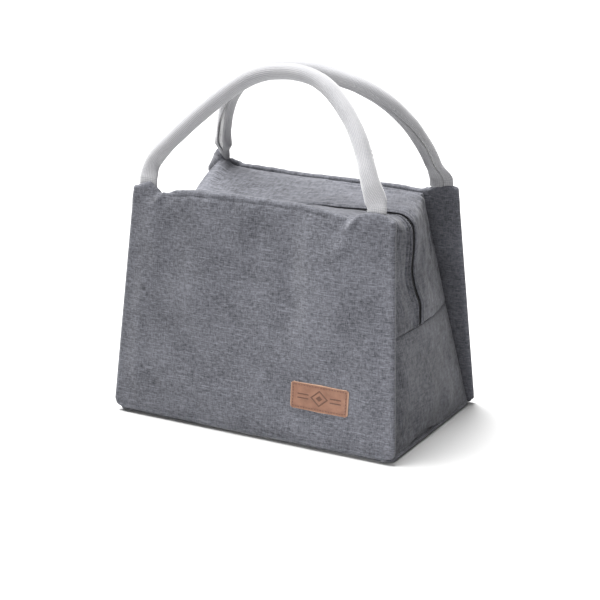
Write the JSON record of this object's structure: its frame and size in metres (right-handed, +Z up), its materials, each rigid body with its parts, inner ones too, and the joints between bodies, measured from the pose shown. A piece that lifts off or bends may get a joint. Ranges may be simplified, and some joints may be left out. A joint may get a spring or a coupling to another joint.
{
  "type": "lunch box",
  "caption": "Soft insulated lunch bag with leaning front and back panels, a zipped top band, side gussets, rope handles and a leather patch.",
  "frame": {"origin": "middle of the base, on the surface that the bag stands on", "axes": "+Z up, X across the bag's width, the front with the patch faces -Y"},
  "size_m": [0.24, 0.152, 0.2756],
  "materials": {
    "outer_fabric": "heather grey linen-look polyester, plain weave, matt",
    "foam": "closed-cell insulation foam",
    "lining": "aluminium-faced lining film, soft sheen",
    "webbing": "off-white ribbed cotton webbing",
    "handle_core": "soft rope filling",
    "leather": "tan imitation leather, fine grain, semi-matt",
    "patch_thread": "twisted sewing thread",
    "zip_tape": "dark woven zip tape",
    "zip_coil": "dark nylon coil",
    "zip_metal": "grey lacquered die-cast metal"
  },
  "bodies": {
    "base": {"bottom_panel": "outer_fabric", "bottom_foam": "foam", "bottom_lining": "lining", "front_panel_lower": "outer_fabric", "front_foam_lower": "foam", "front_lining_lower": "lining", "back_panel_lower": "outer_fabric", "back_foam_lower": "foam", "back_lining_lower": "lining", "left_gusset_panel": "outer_fabric", "left_gusset_foam": "foam", "left_gusset_lining": "lining", "right_gusset_panel": "outer_fabric", "right_gusset_foam": "foam", "right_gusset_lining": "lining", "leather_patch": "leather", "patch_thread": "patch_thread"},
    "front_mouth": {"front_panel_upper": "outer_fabric", "front_foam_upper": "foam", "front_lining_upper": "lining", "front_zip_gusset": "outer_fabric", "front_zip_gusset_lining": "lining", "front_zip_tape": "zip_tape", "front_zip_coil": "zip_coil"},
    "front_handle": {"front_handle_webbing": "webbing", "front_handle_core": "handle_core"},
    "back_mouth": {"back_panel_upper": "outer_fabric", "back_foam_upper": "foam", "back_lining_upper": "lining", "back_zip_gusset": "outer_fabric", "back_zip_gusset_lining": "lining", "back_zip_tape": "zip_tape", "back_zip_coil": "zip_coil"},
    "back_handle": {"back_handle_webbing": "webbing", "back_handle_core": "handle_core"},
    "slider": {"zip_slider": "zip_metal"},
    "pull": {"zip_pull": "zip_metal"}
  },
  "joints": [
    {"name": "front_mouth_lean", "type": "hinge", "parent": "base", "child": "front_mouth", "pos_m": [0, -0.06851, 0.084], "axis": [1, 0, 0], "range_deg": [0, 25]},
    {"name": "back_mouth_lean", "type": "hinge", "parent": "base", "child": "back_mouth", "pos_m": [0, 0.06851, 0.084], "axis": [-1, 0, 0], "range_deg": [0, 25]},
    {"name": "front_handle_swing", "type": "hinge", "parent": "front_mouth", "child": "front_handle", "pos_m": [0, -0.0575, 0.1847], "axis": [1, 0, 0], "range_deg": [-3, 140]},
    {"name": "back_handle_swing", "type": "hinge", "parent": "back_mouth", "child": "back_handle", "pos_m": [0, 0.0575, 0.1847], "axis": [-1, 0, 0], "range_deg": [-3, 140]},
    {"name": "slider_travel", "type": "slide", "parent": "front_mouth", "child": "slider", "axis": [0.1002, 0, 0.995], "range_m": [0, 0.055]},
    {"name": "pull_swing", "type": "hinge", "parent": "slider", "child": "pull", "pos_m": [-0.10761, 0, 0.09134], "axis": [0, 1, 0], "range_deg": [0, 170]}
  ]
}
